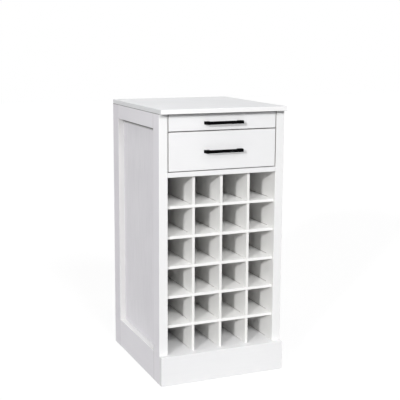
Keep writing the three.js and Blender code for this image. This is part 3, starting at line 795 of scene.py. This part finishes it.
def addHead(bm, place, turn, radius, height, crossed=True, shank=None):
    # modelled looking up, then turned to the wall it is screwed into and put in place
    profile = [(rise * height, width * radius) for rise, width in headForm["steps"]]
    thin, deep = shank or (radius, 0.0)
    if shank:
        profile = [(deep, thin), (0.0, radius)] + profile
    made = bmesh.ops.create_circle(bm, cap_ends=True, cap_tris=False,
                                   segments=headForm["sides"], radius=thin)
    verts = made["verts"]
    bmesh.ops.rotate(bm, verts=verts, cent=(0.0, 0.0, 0.0),
                     matrix=Matrix.Rotation(math.radians(headForm["turn"]), 3, "Z"))
    bmesh.ops.translate(bm, verts=verts, vec=(0.0, 0.0, -deep))
    top = verts[0].link_faces[0]
    grown = set(verts)
    for number, (rise, reach) in enumerate(profile):
        made = bmesh.ops.extrude_face_region(bm, geom=[top])
        if number:  # the first face stays, and closes the foot
            bmesh.ops.delete(bm, geom=[top], context="FACES_KEEP_BOUNDARY")
        top = [g for g in made["geom"] if isinstance(g, bmesh.types.BMFace)][0]
        ring = top.verts[:]
        grown.update(ring)
        bmesh.ops.translate(bm, verts=ring, vec=(0.0, 0.0, rise))
        here = sum(v.co.xy.length for v in ring) / len(ring)
        bmesh.ops.scale(bm, verts=ring, vec=(reach / here, reach / here, 1.0))
    if crossed:
        for corner in top.verts:
            turnedBy = math.degrees(math.atan2(corner.co.y, corner.co.x)) % 90.0
            if abs(turnedBy - 45.0) < headForm["pinchWithin"]:
                corner.co.xy *= headForm["armPinch"]
        made = bmesh.ops.extrude_face_region(bm, geom=[top])
        pit = [g for g in made["geom"] if isinstance(g, bmesh.types.BMVert)]
        grown.update(pit)
        bmesh.ops.translate(bm, verts=pit, vec=(0.0, 0.0, -headForm["pitDepth"] * height))
        bmesh.ops.scale(bm, verts=pit, vec=(headForm["pitTaper"], headForm["pitTaper"], 1.0))
        bmesh.ops.delete(bm, geom=[top], context="FACES_KEEP_BOUNDARY")
    live = [v for v in grown if v.is_valid]
    bmesh.ops.rotate(bm, verts=live, cent=(0.0, 0.0, 0.0), matrix=turn)
    bmesh.ops.translate(bm, verts=live, vec=place)


def finishHeads(bm, name, material, body, stands):
    bmesh.ops.recalc_face_normals(bm, faces=bm.faces[:])
    shadeSmooth(bm, headForm["smoothAngle"])
    piece = linkMesh(name, bm, material)
    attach(piece, body)
    if stands:
        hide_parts(*stands)


def shadeSmooth(bm, degrees):
    for face in bm.faces:
        face.smooth = True
    for edge in bm.edges:
        if len(edge.link_faces) == 2 and edge.calc_face_angle() > math.radians(degrees):
            edge.smooth = False


# looking up, turned to face each wall
facesBack = Matrix.Rotation(math.radians(-90), 3, "X")
facesLeft = Matrix.Rotation(math.radians(-90), 3, "Y")
facesRight = Matrix.Rotation(math.radians(90), 3, "Y")


def makeHandleScrews(body, centre, look):
    for number, side in ((1, -1), (2, 1)):
        bm = bmesh.new()
        place = Vector((side * look["spacing"], look["seat"], centre))
        addHead(bm, place, facesBack, look["headRadius"], look["headHeight"],
                shank=(look["shankRadius"], look["seat"] - look["tip"]))
        name = body + "_handle_screw_" + str(number)
        finishHeads(bm, body + "_pan_head_screw_" + str(number), slideZinc, body, [name])


for body, centre in barHandle["centres"].items():
    makeHandleScrews(body, centre, handleScrew)
print("handle screws made")


# Ball-bearing slides

slideGear = {
    "caseFace": 194.8 * mm,
    "start": -208.0 * mm,
    "length": 400.3 * mm,
    "gauge": 1.2 * mm,
    "cageGauge": 0.5 * mm,
    "cageTab": 0.8 * mm,
    "ball": 1.6 * mm,
    "race": 2.5 * mm,  # from a ball's centre to the middle of the sheet bent round it
    "pitch": 20.0 * mm,
    "outerEnd": 30.0,  # degrees, where the outer member's race ends
    "arcStep": 10.0,
    "edgeEase": 0.2 * mm,
    "edgeSteps": 2,
    "edgeAngle": 50.0,  # degrees, from which a sheared edge is eased
    "ballSides": 14,
    "ballRings": 9,
    "cageSmooth": 40.0,  # degrees
    "drawer": {"height": 45.0 * mm, "thickness": 12.7 * mm, "level": 772.0 * mm, "cageShare": 0.375},
    "tray": {"height": 27.0 * mm, "thickness": 10.0 * mm, "level": 872.0 * mm, "cageShare": 0.225},
}


def polar(centre, degrees, radius):
    angle = math.radians(degrees)
    return centre[0] + radius * math.cos(angle), centre[1] + radius * math.sin(angle)


def drawLine(bm, here, there):
    made = bmesh.ops.extrude_vert_indiv(bm, verts=[here])
    tip = made["verts"][0]
    tip.co = (there[0], tip.co.y, there[1])
    return tip


def drawArc(bm, here, centre, degrees, step):
    # turns from here round the ball's centre; positive is from the box side up
    steps = max(1, round(abs(degrees) / step))
    made = bmesh.ops.spin(bm, geom=[here], cent=(centre[0], here.co.y, centre[1]),
                          axis=(0.0, 1.0, 0.0), dvec=(0.0, 0.0, 0.0), angle=-math.radians(degrees),
                          space=Matrix.Identity(4), steps=steps, use_merge=False,
                          use_normal_flip=False, use_duplicate=False)
    return [g for g in made["geom_last"] if isinstance(g, bmesh.types.BMVert)][0]


def ballCentres(part, look):
    # the first row runs in the outer member, and a three-member slide has a second in the middle one
    first = (look["gauge"] / 2 + look["race"], part["height"] / 2 - look["gauge"] / 2 - look["race"])
    return first, polar(first, -60.0, 2 * look["race"])


def memberLine(bm, kind, part, look):
    # the upper half of one member's section, from its tip to the middle of its web
    first, second = ballCentres(part, look)
    start, race, step = look["start"], look["race"], look["arcStep"]
    if kind == "outer":
        x, z = polar(first, look["outerEnd"], race)
        here = drawArc(bm, bm.verts.new((x, start, z)), first, 180.0 - look["outerEnd"], step)
        return drawLine(bm, here, (here.co.x, 0.0))
    if kind == "middle":
        x, z = polar(second, 0.0, race)
        here = drawArc(bm, bm.verts.new((x, start, z)), second, 120.0, step)
        here = drawArc(bm, here, first, -30.0, step)
        return drawLine(bm, here, (here.co.x, 0.0))
    ball = second if part is look["drawer"] else first
    x, z = polar(ball, -90.0, race)
    here = drawArc(bm, bm.verts.new((x, start, z)), ball, 30.0, step)
    here = drawLine(bm, here, (part["thickness"] - look["gauge"] / 2, here.co.z))
    return drawLine(bm, here, (here.co.x, 0.0))


def makeMember(unit, sideName, side, kind, body):
    look, part = slideGear, slideGear[unit]
    bm = bmesh.new()
    memberLine(bm, kind, part, look)
    bmesh.ops.mirror(bm, geom=bm.verts[:] + bm.edges[:], axis="Z", merge_dist=weld)
    made = bmesh.ops.extrude_edge_only(bm, edges=bm.edges[:])
    far = [g for g in made["geom"] if isinstance(g, bmesh.types.BMVert)]
    bmesh.ops.translate(bm, verts=far, vec=(0.0, look["length"], 0.0))
    middle = [e for e in bm.edges
              if all(abs(v.co.z) < weld for v in e.verts) and len(e.link_faces) == 2]
    bmesh.ops.dissolve_edges(bm, edges=middle, use_verts=True)
    bmesh.ops.recalc_face_normals(bm, faces=bm.faces[:])
    seatPiece(bm, part, side, look)
    for face in bm.faces:
        face.smooth = True
    piece = linkMesh("_".join((unit, "slide", sideName, kind, "sheet")), bm, slideZinc)
    thick = piece.modifiers.new("sheetGauge", "SOLIDIFY")
    thick.thickness = look["gauge"]
    thick.offset = 0.0
    thick.use_even_offset = True
    edge = piece.modifiers.new("shearedEdge", "BEVEL")
    edge.width = look["edgeEase"]
    edge.segments = look["edgeSteps"]
    edge.limit_method = "ANGLE"
    edge.angle_limit = math.radians(look["edgeAngle"])
    softenEdges(piece)
    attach(piece, body)
    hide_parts("_".join((unit, "slide", sideName, kind)))


def seatPiece(bm, part, side, look):
    # from the section's own place to the case's inner face, on the left or the right
    bmesh.ops.scale(bm, verts=bm.verts[:], vec=(-side, 1.0, 1.0))
    bmesh.ops.translate(bm, verts=bm.verts[:], vec=(side * look["caseFace"], 0.0, part["level"]))
    if side > 0:
        bmesh.ops.reverse_faces(bm, faces=bm.faces[:])


def makeCage(unit, sideName, side, kind, ball, body):
    look, part = slideGear, slideGear[unit]
    length = part["cageShare"] * look["length"]
    middle = look["start"] + look["length"] / 2
    web = ball[0] - look["ball"] + look["cageGauge"] / 2
    bm = bmesh.new()
    tip = bm.verts.new((ball[0] + look["cageTab"], middle - length / 2, ball[1]))
    drawLine(bm, drawLine(bm, tip, (web, ball[1])), (web, 0.0))
    bmesh.ops.mirror(bm, geom=bm.verts[:] + bm.edges[:], axis="Z", merge_dist=weld)
    made = bmesh.ops.extrude_edge_only(bm, edges=bm.edges[:])
    far = [g for g in made["geom"] if isinstance(g, bmesh.types.BMVert)]
    bmesh.ops.translate(bm, verts=far, vec=(0.0, length, 0.0))
    bmesh.ops.recalc_face_normals(bm, faces=bm.faces[:])
    bmesh.ops.solidify(bm, geom=bm.faces[:], thickness=look["cageGauge"])
    count = int(length / look["pitch"])
    for row in (-1, 1):
        for i in range(count):
            place = (ball[0], middle + (i - (count - 1) / 2) * look["pitch"], row * ball[1])
            bmesh.ops.create_uvsphere(bm, u_segments=look["ballSides"], v_segments=look["ballRings"],
                                      radius=look["ball"], matrix=Matrix.Translation(place))
    seatPiece(bm, part, side, look)
    shadeSmooth(bm, look["cageSmooth"])
    name = "_".join([unit, "slide", sideName] + ([kind] if kind else []))
    piece = linkMesh(name + "_ball_strip", bm, polishedCage)
    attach(piece, body)
    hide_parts(name + "_cage")


def makeSlideScrews(unit, sideName, side, look, gear):
    bm = bmesh.new()
    part = gear[unit]
    wall = side * (gear["caseFace"] - part["thickness"] + gear["gauge"])
    for y in look["places"]:
        addHead(bm, Vector((wall, y, part["level"])), facesRight if side > 0 else facesLeft,
                look["radius"], look["height"])
    name = "_".join((unit, "slide", sideName, "fixing_screws"))
    finishHeads(bm, name, slideZinc, unit, [])


for sideName, side in (("left", -1), ("right", 1)):
    first, second = ballCentres(slideGear["drawer"], slideGear)
    makeMember("drawer", sideName, side, "outer", "cabinet")
    makeMember("drawer", sideName, side, "middle", "drawer_middle_members")
    makeMember("drawer", sideName, side, "inner", "drawer")
    makeCage("drawer", sideName, side, "outer", first, "drawer_outer_cages")
    makeCage("drawer", sideName, side, "inner", second, "drawer_inner_cages")
    first, second = ballCentres(slideGear["tray"], slideGear)
    makeMember("tray", sideName, side, "outer", "cabinet")
    makeMember("tray", sideName, side, "inner", "tray")
    makeCage("tray", sideName, side, "", first, "tray_cages")
    makeSlideScrews("drawer", sideName, side, slideScrew, slideGear)
    makeSlideScrews("tray", sideName, side, slideScrew, slideGear)
print("slides made")


# Back panel

def makeBackPanel(board, nail):
    low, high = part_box("back_panel")
    bm = bmesh.new()
    size = [high[i] - low[i] for i in range(3)]
    size[1] -= nail["height"]
    centre = ((low[0] + high[0]) / 2, low[1] + size[1] / 2, (low[2] + high[2]) / 2)
    bmesh.ops.create_cube(bm, size=1.0)
    bmesh.ops.scale(bm, verts=bm.verts[:], vec=size)
    bmesh.ops.translate(bm, verts=bm.verts[:], vec=centre)
    bmesh.ops.bevel(bm, geom=bm.edges[:], offset=board["ease"], offset_type="OFFSET",
                    segments=board["easeSteps"], profile=0.5, affect="EDGES", material=-1)
    piece = linkMesh("back_board", bm, plainPaints["caseX"])
    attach(piece, "cabinet")
    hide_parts("back_panel")
    softenEdges(piece)
    places = []
    wide, tall = high[0] - nail["inset"], high[2] - low[2]
    for share in nail["across"]:
        places += [(share * wide, low[2] + nail["inset"]), (share * wide, high[2] - nail["inset"])]
    for share in nail["up"]:
        places += [(-wide, low[2] + share * tall), (wide, low[2] + share * tall)]
    bm = bmesh.new()
    for x, z in places:
        addHead(bm, Vector((x, high[1] - nail["height"], z)), facesBack,
                nail["radius"], nail["height"], crossed=False)
    finishHeads(bm, "back_board_nails", slideZinc, "cabinet", [])


makeBackPanel(backBoard, backNail)
print("back panel made")
